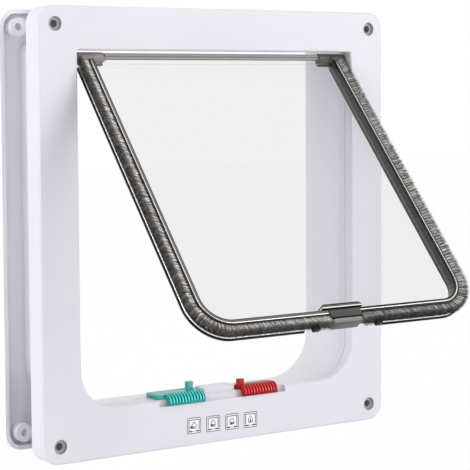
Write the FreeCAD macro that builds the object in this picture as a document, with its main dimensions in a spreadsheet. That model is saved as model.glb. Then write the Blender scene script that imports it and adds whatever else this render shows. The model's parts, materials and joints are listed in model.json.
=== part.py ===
import FreeCAD, Part
import math
import os
import Sketcher

# Four-way lockable cat flap, shown with its flap swung outwards.
# X runs across the flap, +Y goes in through the door and +Z is up.
# The origin is the middle of the four screw holes, where they meet the near face of the door.
# The pieces are drawn with the front face at Y = 0 and then set back by the skirt's depth.

doc = FreeCAD.newDocument("cat_flap")
sheet = doc.addObject("Spreadsheet::Sheet", "Sizes")


class Size:
    """A number that also carries the expression it came from."""

    def __init__(self, value, text):
        self.value = value
        self.text = text

    def join(self, other, sign, value):
        other = as_size(other)
        return Size(value, "(" + self.text + " " + sign + " " + other.text + ")")

    def __add__(self, other):
        return self.join(other, "+", self.value + as_size(other).value)

    def __sub__(self, other):
        return self.join(other, "-", self.value - as_size(other).value)

    def __mul__(self, other):
        return self.join(other, "*", self.value * as_size(other).value)

    def __truediv__(self, other):
        return self.join(other, "/", self.value / as_size(other).value)

    def __neg__(self):
        return Size(-self.value, "(0 - " + self.text + ")")


def as_size(thing):
    if isinstance(thing, Size):
        return thing
    return Size(float(thing), repr(float(thing)))


row = 0


def size(name, number):
    """Puts one driving dimension in the sheet and returns it."""
    global row
    row += 1
    sheet.set("A" + str(row), name)
    sheet.set("B" + str(row), str(number))
    sheet.setAlias("B" + str(row), name)
    return Size(float(number), "Sizes." + name)


# Front frame
frame_width = size("frame_width", 235)
frame_height = size("frame_height", 250)
frame_corner = size("frame_corner", 10)
skirt_depth = size("skirt_depth", 14)
frame_wall = size("frame_wall", 2.4)
face_rounding = size("face_rounding", 1.4)
screw_inset_x = size("screw_inset_x", 10.5)
screw_inset_z = size("screw_inset_z", 10)
screw_hole_radius = size("screw_hole_radius", 2.1)
recess_radius = size("recess_radius", 4)
recess_depth = size("recess_depth", 1.6)
boss_radius = size("boss_radius", 5.2)

# Opening in the front frame
side_border = size("side_border", 23.9)
top_border = size("top_border", 24)
sill_border = size("sill_border", 28.2)
lip_corner = size("lip_corner", 22.5)
lip_top_corner = size("lip_top_corner", 1.2)
lip_depth = size("lip_depth", 12.4)
lip_wall = size("lip_wall", 2)
lip_bevel = size("lip_bevel", 0.7)
groove_place = size("groove_place", 6)
groove_width = size("groove_width", 0.6)
groove_depth = size("groove_depth", 0.4)

# Telescoping sleeves that line the hole in the door
sleeve_step = size("sleeve_step", 6.6)
rear_sleeve_wall = size("rear_sleeve_wall", 1.5)
front_sleeve_wall = size("front_sleeve_wall", 1.5)
sleeve_clearance = size("sleeve_clearance", 0.3)
front_sleeve_end = size("front_sleeve_end", 40)
rear_sleeve_gap = size("rear_sleeve_gap", 0.5)

# Rear frame
overall_depth = size("overall_depth", 55)
tray_depth = size("tray_depth", 8.5)
rear_plate = size("rear_plate", 2)
tray_wall = size("tray_wall", 2.4)
rear_bevel = size("rear_bevel", 1.1)
boss_proud = size("boss_proud", 2.1)

# Hinge line of the flap
hinge_depth = size("hinge_depth", 8)
hinge_drop = size("hinge_drop", 3.5)
swing = size("swing", 41.2)
pin_radius = size("pin_radius", 1)
pin_clearance = size("pin_clearance", 0.06)
pin_reach = size("pin_reach", 5)
pin_length = size("pin_length", 17)
pivot_boss_radius = size("pivot_boss_radius", 2.6)
pivot_boss_length = size("pivot_boss_length", 6.2)

# Flap: gaps to the opening, drops below the hinge line and thicknesses
rim_side_gap = size("rim_side_gap", 11.4)
rim_foot_gap = size("rim_foot_gap", 15.5)
rim_corner = size("rim_corner", 14)
rim_top = size("rim_top", 4.3)
rim_front = size("rim_front", 3.4)
rim_back = size("rim_back", 5.2)
flange_wall = size("flange_wall", 1.2)
web_wall = size("web_wall", 1.5)
front_flange = size("front_flange", 2.8)
back_flange = size("back_flange", 7.5)
pane_wall = size("pane_wall", 1.5)
pane_clearance = size("pane_clearance", 0.05)
bridge_drop = size("bridge_drop", 4.5)
bridge_wall = size("bridge_wall", 1.5)
rail_radius = size("rail_radius", 2.1)
barrel_reach = size("barrel_reach", 9)
barrel_radius = size("barrel_radius", 2.5)
barrel_bevel = size("barrel_bevel", 1.2)
barrel_gap = size("barrel_gap", 0.5)
arm_width = size("arm_width", 7.2)
arm_back = size("arm_back", 3)
tongue_front = size("tongue_front", 1.5)
tongue_drop = size("tongue_drop", 4.1)
tongue_corner = size("tongue_corner", 2)
backing_wall = size("backing_wall", 1)
strip_clearance = size("strip_clearance", 0.1)
pile_reach = size("pile_reach", 9.1)
pile_setback = size("pile_setback", 0.7)
pile_thickness = size("pile_thickness", 3.4)

# Magnet holder at the middle of the flap's bottom edge
holder_half = size("holder_half", 10)
holder_rise = size("holder_rise", 0.8)
holder_drop = size("holder_drop", 5.4)
holder_front = size("holder_front", 3.9)
holder_bevel = size("holder_bevel", 1.4)
hump_half = size("hump_half", 13)
hump_rise = size("hump_rise", 3.5)
hump_front = size("hump_front", 3.4)
hump_corner = size("hump_corner", 2)
notch_reach = size("notch_reach", 24)
notch_foot = size("notch_foot", 5.2)
pile_notch_foot = size("pile_notch_foot", 8)
stop_inner = size("stop_inner", 18.3)
stop_width = size("stop_width", 4)
stop_thickness = size("stop_thickness", 2.6)
stop_drop = size("stop_drop", 10)
cap_half = size("cap_half", 9.4)
cap_height = size("cap_height", 2.9)
cap_neck = size("cap_neck", 0.7)
cap_corner = size("cap_corner", 1.6)
cap_bevel = size("cap_bevel", 1)
seam = size("seam", 0.05)
magnet_length = size("magnet_length", 16)
magnet_width = size("magnet_width", 4)
magnet_height = size("magnet_height", 3)
magnet_clearance = size("magnet_clearance", 0.1)

# Sliding locks in the sill
notch_half = size("notch_half", 43.8)
notch_drop = size("notch_drop", 3.6)
notch_depth = size("notch_depth", 3.2)
ledge_half = size("ledge_half", 50)
ledge_back = size("ledge_back", 18.6)
ledge_wall = size("ledge_wall", 2.4)
ledge_corner = size("ledge_corner", 5)
slot_half_width = size("slot_half_width", 1.6)
slot_place = size("slot_place", 9.2)
slot_inner = size("slot_inner", 19.4)
slot_outer = size("slot_outer", 37)
lock_travel = size("lock_travel", 5.5)
lock_lift = size("lock_lift", 0.2)
lock_end_gap = size("lock_end_gap", 1.2)
lock_plate = size("lock_plate", 2.2)
lock_plate_front = size("lock_plate_front", 3.2)
grip_inner = size("grip_inner", 13.3)
grip_outer = size("grip_outer", 37.7)
grip_radius = size("grip_radius", 4.2)
grip_wall = size("grip_wall", 2)
grip_proud = size("grip_proud", 0.9)
grip_hang = size("grip_hang", 1.5)
rib_width = size("rib_width", 1)
rib_pitch = size("rib_pitch", 2)
rib_count = size("rib_count", 12)
rib_height = size("rib_height", 0.5)
rib_hem = size("rib_hem", 1)
post_inner = size("post_inner", 12.4)
post_outer = size("post_outer", 16.8)
post_thickness = size("post_thickness", 2.8)
post_height = size("post_height", 3.8)
stem_half = size("stem_half", 5.5)
stem_centre = size("stem_centre", 25.4)
stem_clearance = size("stem_clearance", 0.2)
foot_half = size("foot_half", 2.5)
foot_height = size("foot_height", 1.4)
retainer_drop = size("retainer_drop", 3.2)
retainer_wall = size("retainer_wall", 1.4)
spring_wall = size("spring_wall", 0.3)
spring_gap = size("spring_gap", 0.15)
spring_length = size("spring_length", 18)
cover_front = size("cover_front", 5)
cover_back = size("cover_back", 15)
cover_half = size("cover_half", 11)
cover_height = size("cover_height", 3.3)
cover_wall = size("cover_wall", 0.8)
cover_bevel = size("cover_bevel", 0.6)

doc.recompute()

# Places worked out from the sizes
half_width = frame_width / 2
half_height = frame_height / 2
screw_x = half_width - screw_inset_x
screw_z = half_height - screw_inset_z
lip_half = half_width - side_border
lip_top = half_height - top_border
sill = sill_border - half_height
tray_front = overall_depth - tray_depth
hinge_z = lip_top - hinge_drop
rim_half = lip_half - rim_side_gap
rim_drop = hinge_z - sill - rim_foot_gap
rail_half = rim_half - barrel_reach
zero = as_size(0)


def bind(thing, name, value):
    """Binds one property to an expression, or sets a plain number."""
    value = as_size(value)
    if "Sizes." in value.text:
        thing.setExpression(name, value.text)
    else:
        setattr(thing, name, value.value)


def plane_of(body, role):
    for feature in body.Origin.OriginFeatures:
        if feature.Role == role:
            return feature
    raise RuntimeError("no plane " + role)


def new_body(label):
    body = doc.addObject("PartDesign::Body", label + "_body")
    body.Label = label
    body.AllowCompound = True
    body.setExpression("Placement.Base.y", (-skirt_depth).text)
    return body


def new_sketch(body, role, offset):
    """A sketch on one of the body's origin planes, moved out along the plane's normal."""
    sketch = body.newObject("Sketcher::SketchObject", "Sketch")
    sketch.AttachmentSupport = [(plane_of(body, role), "")]
    sketch.MapMode = "FlatFace"
    sketch.setExpression("AttachmentOffset.Base.z", as_size(offset).text)
    return sketch


def hold(sketch, kind, geometry, point, place):
    """Fixes one point's distance from the sketch's axis, whichever side it lies on."""
    place = as_size(place)
    if place.value >= 0:
        number = sketch.addConstraint(Sketcher.Constraint(kind, -1, 1, geometry, point, place.value))
    else:
        place = -place
        number = sketch.addConstraint(Sketcher.Constraint(kind, geometry, point, -1, 1, place.value))
    if "Sizes." in place.text:
        sketch.setExpression("Constraints[" + str(number) + "]", place.text)


def loop(sketch, corners):
    """A closed outline of upright and level lines, whose corners may be rounded.

    Each corner is (across, up, radius) and shares one of its two places with the next one.
    """
    corners = [(as_size(a), as_size(b), as_size(c)) for a, b, c in corners]
    count = len(corners)
    starts = []
    ends = []
    for index in range(count):
        a, b, r = corners[index]
        previous = corners[index - 1]
        following = corners[(index + 1) % count]
        here = FreeCAD.Vector(a.value, b.value, 0)
        back = FreeCAD.Vector(previous[0].value, previous[1].value, 0) - here
        on = FreeCAD.Vector(following[0].value, following[1].value, 0) - here
        back.normalize()
        on.normalize()
        starts.append(here + on * r.value)
        ends.append((here + back * r.value, here + (on + back) * r.value))
    lines = []
    for index in range(count):
        tip = ends[(index + 1) % count][0]
        lines.append(sketch.addGeometry(Part.LineSegment(starts[index], tip), False))
        a, b = corners[index][:2]
        upright = abs(starts[index].x - tip.x) < abs(starts[index].y - tip.y)
        kind = "Vertical" if upright else "Horizontal"
        sketch.addConstraint(Sketcher.Constraint(kind, lines[-1]))
        if upright:
            hold(sketch, "DistanceX", lines[-1], 1, a)
        else:
            hold(sketch, "DistanceY", lines[-1], 1, b)
    for index in range(count):
        radius = corners[index][2]
        before = lines[index - 1]
        after = lines[index]
        if radius.value == 0:
            sketch.addConstraint(Sketcher.Constraint("Coincident", before, 2, after, 1))
            continue
        first, centre = ends[index]
        last = starts[index]
        begin = math.atan2(first.y - centre.y, first.x - centre.x)
        finish = math.atan2(last.y - centre.y, last.x - centre.x)
        turn = (first - centre).cross(last - centre).z
        circle = Part.Circle(centre, FreeCAD.Vector(0, 0, 1), radius.value)
        if turn > 0:
            arc = sketch.addGeometry(Part.ArcOfCircle(circle, begin, finish), False)
            joins = (1, 2)
        else:
            arc = sketch.addGeometry(Part.ArcOfCircle(circle, finish, begin), False)
            joins = (2, 1)
        sketch.addConstraint(Sketcher.Constraint("Tangent", before, 2, arc, joins[0]))
        sketch.addConstraint(Sketcher.Constraint("Tangent", after, 1, arc, joins[1]))
        number = sketch.addConstraint(Sketcher.Constraint("Radius", arc, radius.value))
        if "Sizes." in radius.text:
            sketch.setExpression("Constraints[" + str(number) + "]", radius.text)


def rectangle(sketch, left, right, bottom, top, low_radius=0, high_radius=0):
    loop(sketch, [
        (left, bottom, low_radius),
        (right, bottom, low_radius),
        (right, top, high_radius),
        (left, top, high_radius),
    ])


def circle(sketch, across, up, radius):
    middle = FreeCAD.Vector(as_size(across).value, as_size(up).value, 0)
    number = sketch.addGeometry(Part.Circle(middle, FreeCAD.Vector(0, 0, 1), radius.value), False)
    hold(sketch, "DistanceX", number, 3, across)
    hold(sketch, "DistanceY", number, 3, up)
    radial = sketch.addConstraint(Sketcher.Constraint("Radius", number, radius.value))
    sketch.setExpression("Constraints[" + str(radial) + "]", radius.text)


# Which way a pad grows from each plane: XZ looks along -Y, the others along +X and +Z.
SIGN = {"XZ_Plane": -1, "YZ_Plane": 1, "XY_Plane": 1}


def extrude(kind, body, role, start, end, draw):
    """A pad or a pocket of the drawn outline between two places along the plane's normal."""
    start = as_size(start)
    end = as_size(end)
    sketch = new_sketch(body, role, start if SIGN[role] > 0 else -start)
    draw(sketch)
    feature = body.newObject("PartDesign::" + kind, kind)
    feature.Profile = sketch
    bind(feature, "Length", end - start)
    along = SIGN[role] > 0
    feature.Reversed = (not along) if kind == "Pad" else along
    doc.recompute()
    return feature


def pad(body, role, start, end, draw):
    return extrude("Pad", body, role, start, end, draw)


def pocket(body, role, start, end, draw):
    before = body.Shape.Volume
    feature = extrude("Pocket", body, role, start, end, draw)
    if body.Shape.Volume > before - 0.01:
        raise RuntimeError("a pocket of " + body.Label + " cuts nothing")
    return feature


def soften(body, kind, amount, wanted):
    """A fillet or a chamfer on the edges that the test picks."""
    base = body.Tip
    names = []
    for number, edge in enumerate(base.Shape.Edges, 1):
        if wanted(edge.BoundBox):
            names.append("Edge" + str(number))
    feature = body.newObject("PartDesign::" + kind, kind)
    feature.Base = (base, names)
    bind(feature, "Radius" if kind == "Fillet" else "Size", amount)
    doc.recompute()


def level_at(low, high, place):
    """True where a span lies at one place."""
    return abs(low - place.value) < 0.01 and abs(high - place.value) < 0.01


def mirrored(label, source):
    """The left-hand twin of a right-hand piece."""
    twin = doc.addObject("Part::Mirroring", label)
    twin.Label = label
    twin.Source = source
    twin.Normal = FreeCAD.Vector(1, 0, 0)
    return twin


def opening_loop(step):
    """Outline of the opening, grown by a step all round."""
    def draw(sketch):
        rectangle(sketch, -(lip_half + step), lip_half + step, sill - step, lip_top + step,
                  lip_corner + step, lip_top_corner + step)
    return draw


def frame_loop(inset):
    def draw(sketch):
        rectangle(sketch, -(half_width - inset), half_width - inset,
                  -(half_height - inset), half_height - inset,
                  frame_corner - inset, frame_corner - inset)
    return draw


def screw_circles(radius):
    def draw(sketch):
        for x in (-screw_x, screw_x):
            for z in (-screw_z, screw_z):
                circle(sketch, x, z, radius)
    return draw


def box_loop(left, right, bottom, top, radius=0):
    def draw(sketch):
        rectangle(sketch, left, right, bottom, top, radius, radius)
    return draw


def on_outline(box, wall):
    """True for an edge in the outermost band of the frame."""
    across = max(abs(box.XMin), abs(box.XMax)) > (half_width - wall).value
    return across or max(abs(box.ZMin), abs(box.ZMax)) > (half_height - wall).value


def round_lip(box):
    """True for an edge round the opening."""
    across = max(abs(box.XMin), abs(box.XMax)) < lip_half.value + 0.01
    return across and box.ZMin > sill.value - 0.01 and box.ZMax < lip_top.value + 0.01


rear_bore = sleeve_step
rear_outer = rear_bore + rear_sleeve_wall
front_bore = rear_outer + sleeve_clearance
front_outer = front_bore + front_sleeve_wall
step_front = lip_depth - lip_wall


def front_frame():
    """Face plate with its skirt, the lip round the opening and the outer sleeve."""
    body = new_body("front_frame")
    pad(body, "XZ_Plane", 0, skirt_depth, frame_loop(zero))
    pocket(body, "XZ_Plane", frame_wall, skirt_depth, frame_loop(frame_wall))
    pad(body, "XZ_Plane", 0, lip_depth, opening_loop(lip_wall))
    pad(body, "XZ_Plane", step_front, front_sleeve_end, opening_loop(front_outer))
    pad(body, "XZ_Plane", 0, skirt_depth - strip_clearance, screw_circles(boss_radius))
    pad(body, "XZ_Plane", 0, lip_depth, box_loop(
        -ledge_half, ledge_half, sill - notch_drop - ledge_wall, sill))
    pocket(body, "XZ_Plane", 0, lip_depth, opening_loop(zero))
    pocket(body, "XZ_Plane", lip_depth, front_sleeve_end, opening_loop(front_bore))
    pad(body, "XY_Plane", sill - ledge_wall, sill, box_loop(
        -ledge_half, ledge_half, lip_depth - ledge_corner * 1.5, ledge_back, ledge_corner))
    pocket(body, "XZ_Plane", notch_depth * 2, lip_depth, box_loop(
        -(ledge_half - lip_wall), ledge_half - lip_wall,
        sill - notch_drop - ledge_wall, sill - ledge_wall))
    pocket(body, "XZ_Plane", 0, notch_depth, box_loop(
        -notch_half, notch_half, sill - notch_drop, sill + ledge_wall))
    for side in (-1, 1):
        inner = slot_inner * side
        outer = slot_outer * side
        left, right = (outer, inner) if side < 0 else (inner, outer)
        pocket(body, "XY_Plane", sill - ledge_wall, sill, box_loop(
            left, right, slot_place - slot_half_width, slot_place + slot_half_width))
    pivot_end = lip_half + pivot_boss_length
    for side in (-1, 1):
        inside = (lip_half + lip_wall / 2) * side
        end = pivot_end * side
        low, high = (end, inside) if side < 0 else (inside, end)
        pad(body, "YZ_Plane", low, high,
            lambda sketch: circle(sketch, hinge_depth, hinge_z, pivot_boss_radius))
        bore_end = (lip_half + pin_reach + pin_clearance * 4) * side
        low, high = (bore_end, lip_half * side) if side < 0 else (lip_half * side, bore_end)
        pocket(body, "YZ_Plane", low, high,
               lambda sketch: circle(sketch, hinge_depth, hinge_z, pin_radius + pin_clearance))
    pocket(body, "XZ_Plane", 0, skirt_depth, screw_circles(screw_hole_radius))
    pocket(body, "XZ_Plane", 0, recess_depth, screw_circles(recess_radius))
    soften(body, "Fillet", face_rounding,
           lambda box: level_at(box.YMin, box.YMax, zero) and on_outline(box, frame_wall))
    pocket(body, "XZ_Plane", groove_place, groove_place + groove_width,
           opening_loop(groove_depth))
    soften(body, "Chamfer", lip_bevel,
           lambda box: level_at(box.YMin, box.YMax, zero) and round_lip(box))
    return body


def rear_frame():
    """Shallow tray for the far face of the door, with the inner sleeve."""
    body = new_body("rear_frame")
    sleeve_front = lip_depth + rear_sleeve_gap
    pad(body, "XZ_Plane", tray_front, overall_depth, frame_loop(zero))
    pocket(body, "XZ_Plane", tray_front, overall_depth - rear_plate, frame_loop(tray_wall))
    pad(body, "XZ_Plane", sleeve_front, overall_depth, opening_loop(rear_outer))
    pad(body, "XZ_Plane", tray_front - boss_proud, overall_depth, screw_circles(boss_radius))
    pocket(body, "XZ_Plane", sleeve_front, overall_depth, opening_loop(rear_bore))
    pocket(body, "XZ_Plane", tray_front - boss_proud, overall_depth,
           screw_circles(screw_hole_radius))
    soften(body, "Chamfer", rear_bevel,
           lambda box: level_at(box.YMin, box.YMax, overall_depth) and on_outline(box, tray_wall))
    return body


def on_hinge(body):
    """Hangs a flap piece, drawn about the hinge line, at the hinge and swings it out."""
    body.Placement = FreeCAD.Placement(
        FreeCAD.Vector(0, 0, 0), FreeCAD.Rotation(FreeCAD.Vector(-1, 0, 0), swing.value))
    body.setExpression("Placement.Base.y", (hinge_depth - skirt_depth).text)
    body.setExpression("Placement.Base.z", hinge_z.text)
    body.setExpression("Placement.Rotation.Angle", swing.text)
    return body


def edge_strip(inner, outer, inner_drop, outer_drop, inner_corner, outer_corner, start, top):
    """Outline of an L-shaped strip: down the right leg and in along the bottom."""
    def draw(sketch):
        loop(sketch, [
            (inner, -top, 0),
            (outer, -top, 0),
            (outer, -outer_drop, outer_corner),
            (start, -outer_drop, 0),
            (start, -inner_drop, 0),
            (inner, -inner_drop, inner_corner),
        ])
    return draw


rim_start = holder_half + seam
notch_end = notch_reach + seam
notch_low = rim_drop + notch_foot
stop_outer = stop_inner + stop_width
web_half = rim_half + web_wall
web_drop = rim_drop + web_wall
front_half = rim_half + front_flange
front_drop = rim_drop + front_flange
back_half = rim_half + back_flange
back_drop = rim_drop + back_flange
channel_front = flange_wall - rim_front
channel_back = rim_back - flange_wall
pane_front = rim_back - pane_wall
pile_front = channel_front + pile_setback
stop_back = pile_front + stop_thickness


def flap_pane():
    """Clear sheet, with the bridge that carries it forward to the top rail."""
    body = new_body("flap_pane")
    half = rim_half + web_wall / 2
    drop = rim_drop + web_wall / 2
    bridge_half = rim_half - pane_clearance

    def sheet_outline(sketch):
        rectangle(sketch, -half, half, -drop, -(rim_top + pane_clearance),
                  rim_corner + web_wall / 2, 0)
    pad(body, "XZ_Plane", pane_front, rim_back, sheet_outline)
    pad(body, "XZ_Plane", pane_front, rim_back, box_loop(
        -bridge_half, bridge_half, -(rim_top + web_wall), -bridge_drop))
    pad(body, "XZ_Plane", -(bridge_wall / 2), rim_back, box_loop(
        -bridge_half, bridge_half, -(bridge_drop + bridge_wall), -bridge_drop))
    pad(body, "XZ_Plane", -(bridge_wall / 2), bridge_wall / 2, box_loop(
        -(rail_half - pane_clearance), rail_half - pane_clearance,
        -(bridge_drop + bridge_wall), -(rail_radius + pane_clearance)))
    return on_hinge(body)


def top_rail():
    """Round bar along the hinge line."""
    body = new_body("top_rail")
    pad(body, "YZ_Plane", -rail_half, rail_half,
        lambda sketch: circle(sketch, zero, zero, rail_radius))
    return on_hinge(body)


def right_corner_piece():
    """Barrel round the hinge pin, with a tongue under it and the arm that carries the rim."""
    body = new_body("right_corner_piece")
    end = lip_half - barrel_gap
    pad(body, "YZ_Plane", rail_half + seam, end,
        lambda sketch: circle(sketch, zero, zero, barrel_radius))
    pad(body, "XZ_Plane", -rim_front, arm_back, box_loop(
        rim_half, rim_half + arm_width, -(rim_top - seam), -(barrel_radius / 2)))
    pin_start = lip_half + pin_reach - pin_length
    pocket(body, "YZ_Plane", pin_start - seam, end,
           lambda sketch: circle(sketch, zero, zero, pin_radius + seam))
    soften(body, "Chamfer", barrel_bevel,
           lambda box: level_at(box.XMin, box.XMax, rail_half + seam))
    pad(body, "XZ_Plane", -tongue_front, arm_back, lambda sketch: rectangle(
        sketch, rail_half + seam, rim_half + arm_width, -tongue_drop, -(barrel_radius / 2),
        tongue_corner, 0))
    return on_hinge(body)


def right_hinge_pin():
    body = new_body("right_hinge_pin")
    pad(body, "YZ_Plane", lip_half + pin_reach - pin_length, lip_half + pin_reach,
        lambda sketch: circle(sketch, zero, zero, pin_radius))
    return on_hinge(body)


def right_rim():
    """Half of the smoked rim: inner web, front flange, deeper back flange and stop.

    The back flange is shallower near the middle, and a lock's post that has been slid
    outwards stands in the way of the stop.
    """
    body = new_body("right_rim")
    outer_corner = rim_corner + back_flange
    pad(body, "XZ_Plane", -rim_front, rim_back, edge_strip(
        rim_half, web_half, rim_drop, web_drop, rim_corner, rim_corner + web_wall,
        rim_start, rim_top))
    pad(body, "XZ_Plane", -rim_front, channel_front, edge_strip(
        rim_half, front_half, rim_drop, front_drop, rim_corner, rim_corner + front_flange,
        rim_start, rim_top))
    pad(body, "XZ_Plane", channel_back, rim_back, edge_strip(
        rim_half, back_half, rim_drop, back_drop, rim_corner, outer_corner,
        notch_end, rim_top))
    pad(body, "XZ_Plane", channel_back, rim_back, box_loop(
        rim_start, notch_end + web_wall, -notch_low, -rim_drop))
    pad(body, "XZ_Plane", pile_front, stop_back, box_loop(
        stop_inner, stop_outer, -(rim_drop + stop_drop), -(rim_drop + web_wall / 2)))
    reach = web_wall / 2 + pane_clearance
    pocket(body, "XZ_Plane", pane_front - pane_clearance, rim_back, edge_strip(
        rim_half - reach, rim_half + reach, rim_drop - reach, rim_drop + reach,
        rim_corner - reach, rim_corner + reach, rim_start, rim_top))
    return on_hinge(body)


def stop_pocket(body):
    """Room for the rim's stop in the weather seal."""
    pocket(body, "XZ_Plane", channel_front, stop_back + strip_clearance, box_loop(
        stop_inner - strip_clearance, stop_outer + strip_clearance,
        -(rim_drop + stop_drop), -rim_drop))


def right_brush_backing():
    """Woven base strip of the weather seal, in the channel of the rim."""
    body = new_body("right_brush_backing")
    pad(body, "XZ_Plane", channel_front + strip_clearance, channel_back - strip_clearance,
        edge_strip(web_half + strip_clearance, web_half + backing_wall,
                   web_drop + strip_clearance, web_drop + backing_wall,
                   rim_corner + web_wall + strip_clearance,
                   rim_corner + web_wall + backing_wall, rim_start, rim_top))
    stop_pocket(body)
    return on_hinge(body)


def right_brush_pile():
    """Envelope of the pile, from the backing out to its tips, and shorter over a lock's post."""
    body = new_body("right_brush_pile")
    base_half = web_half + backing_wall + strip_clearance
    base_drop = web_drop + backing_wall + strip_clearance
    pile_back = pile_front + pile_thickness
    pad(body, "XZ_Plane", pile_front, pile_back,
        edge_strip(base_half, rim_half + pile_reach, base_drop, rim_drop + pile_reach,
                   rim_corner + web_wall + backing_wall + strip_clearance,
                   rim_corner + pile_reach, notch_end, rim_top))
    pad(body, "XZ_Plane", pile_front, pile_back, box_loop(
        rim_start, notch_end + web_wall, -(rim_drop + pile_notch_foot), -base_drop))
    stop_pocket(body)
    return on_hinge(body)


def magnet_holder():
    """Moulding that joins the two halves of the rim and holds the flap's magnet."""
    body = new_body("magnet_holder")
    bottom = rim_drop + holder_drop
    pad(body, "XZ_Plane", -holder_front, rim_back, box_loop(
        -holder_half, holder_half, -bottom, -(rim_drop - holder_rise)))
    soften(body, "Chamfer", holder_bevel,
           lambda box: level_at(box.YMin, box.YMax, -holder_front)
           and level_at(box.ZMin, box.ZMax, holder_rise - rim_drop))
    pad(body, "XZ_Plane", -hump_front, pane_front - pane_clearance, lambda sketch: rectangle(
        sketch, -hump_half, hump_half, -(rim_drop - holder_rise), -(rim_drop - hump_rise),
        0, hump_corner))
    reach = web_wall / 2 + pane_clearance
    pocket(body, "XZ_Plane", pane_front - pane_clearance, rim_back, box_loop(
        -holder_half, holder_half, -(rim_drop + reach), -(rim_drop - holder_rise)))
    middle = (channel_front + channel_back) / 2
    half = magnet_width / 2 + magnet_clearance
    pocket(body, "XY_Plane", -bottom, -(bottom - magnet_height - magnet_clearance), box_loop(
        -(magnet_length / 2 + magnet_clearance), magnet_length / 2 + magnet_clearance,
        middle - half, middle + half))
    return on_hinge(body)


def flap_magnet():
    body = new_body("flap_magnet")
    bottom = rim_drop + holder_drop
    middle = (channel_front + channel_back) / 2
    pad(body, "XY_Plane", -bottom, -(bottom - magnet_height), box_loop(
        -(magnet_length / 2), magnet_length / 2,
        middle - magnet_width / 2, middle + magnet_width / 2))
    return on_hinge(body)


def magnet_holder_cap():
    """Lower slab that shuts the magnet into its holder."""
    body = new_body("magnet_holder_cap")
    top = rim_drop + holder_drop
    bottom = top + cap_height
    pad(body, "XY_Plane", -bottom, -(top + cap_neck), box_loop(
        -cap_half, cap_half, -holder_front, channel_back, cap_corner))
    soften(body, "Chamfer", cap_bevel,
           lambda box: level_at(box.ZMin, box.ZMax, -bottom))
    pad(body, "XY_Plane", -(top + cap_neck), -top, box_loop(
        -(cap_half - cap_neck), cap_half - cap_neck, cap_neck - holder_front, channel_back))
    return on_hinge(body)


def sliding_lock(label, side, post_front, wing, plate_back):
    """Grip, plate and post that slide along the sill, with a foot under it."""
    body = new_body(label)
    bottom = sill + lock_lift
    top = bottom + lock_plate

    def span(inner, outer):
        near = inner * side
        far = outer * side
        return (far, near) if side < 0 else (near, far)
    left, right = span(cover_half + lock_end_gap, wing)
    pad(body, "XY_Plane", bottom, top, box_loop(
        left, right, lock_plate_front, plate_back, lock_plate / 2))
    left, right = span(grip_inner, grip_outer)
    curve_y = grip_radius - grip_proud
    curve_z = top - grip_radius

    def grip_outline(extra, hem, inner_radius):
        low = curve_z - grip_hang + hem

        def draw(sketch):
            loop(sketch, [
                (curve_y + lock_plate, bottom, 0),
                (curve_y + lock_plate, top + extra, 0),
                (-(grip_proud + extra), top + extra, grip_radius + extra),
                (-(grip_proud + extra), low, 0),
                (grip_wall - grip_proud, low, 0),
                (grip_wall - grip_proud, bottom, inner_radius),
            ])
        return draw
    pad(body, "YZ_Plane", left, right, grip_outline(zero, zero, grip_radius - grip_wall))
    rib_left = left + rib_width if side > 0 else left + rib_width / 2
    pad(body, "YZ_Plane", rib_left, rib_left + rib_width, grip_outline(rib_height, rib_hem, zero))
    rib = body.Tip
    pattern = body.newObject("PartDesign::LinearPattern", "Ribs")
    pattern.Originals = [rib]
    pattern.Direction = (plane_of(body, "X_Axis"), [""])
    pattern.setExpression("Length", (rib_pitch * (rib_count - 1)).text)
    pattern.setExpression("Occurrences", rib_count.text)
    body.Tip = pattern
    doc.recompute()
    left, right = span(post_inner, post_outer)
    pad(body, "XY_Plane", bottom, top + post_height, box_loop(
        left, right, post_front, post_front + post_thickness, post_thickness / 5))
    left, right = span(stem_centre - stem_half, stem_centre + stem_half)
    stem_low = sill - ledge_wall - stem_clearance - foot_height
    pad(body, "XY_Plane", stem_low, top, box_loop(
        left, right, slot_place - slot_half_width + stem_clearance,
        slot_place + slot_half_width - stem_clearance))
    pad(body, "XY_Plane", stem_low, stem_low + foot_height, box_loop(
        left, right, slot_place - foot_half, slot_place + foot_half))
    return body


def lock_retainer():
    """Plate under the sill that stops the locks from being lifted out."""
    body = new_body("lock_retainer")
    top = sill - ledge_wall - retainer_drop
    half = ledge_half - lip_wall - seam
    pad(body, "XY_Plane", top - retainer_wall, top, box_loop(
        -half, half, notch_depth * 2 + seam, step_front - seam))
    for side in (-1, 1):
        inner = (half - lip_wall * 2) * side
        outer = half * side
        left, right = (outer, inner) if side < 0 else (inner, outer)
        pad(body, "XY_Plane", top, sill - ledge_wall - seam, box_loop(
            left, right, notch_depth * 2 + seam, step_front - seam))
    return body


def detent_spring(label, side):
    """Leaf spring that presses up on a lock's foot."""
    body = new_body(label)
    base = sill - ledge_wall - retainer_drop
    crest = sill - ledge_wall - stem_clearance - foot_height - spring_gap
    middle = stem_centre * side
    half = spring_length / 2
    pad(body, "XY_Plane", base, base + spring_wall, box_loop(
        middle - half, middle + half, slot_place - slot_half_width, slot_place + slot_half_width))
    for place in (-1, 1):
        foot = middle + (half - spring_wall) * place
        inner = foot - spring_wall * place
        left, right = (inner, foot) if place > 0 else (foot, inner)
        pad(body, "XY_Plane", base, crest, box_loop(
            left, right, slot_place - slot_half_width, slot_place + slot_half_width))
    pad(body, "XY_Plane", crest - spring_wall, crest, box_loop(
        middle - half + spring_wall, middle + half - spring_wall,
        slot_place - slot_half_width, slot_place + slot_half_width))
    return body


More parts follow.
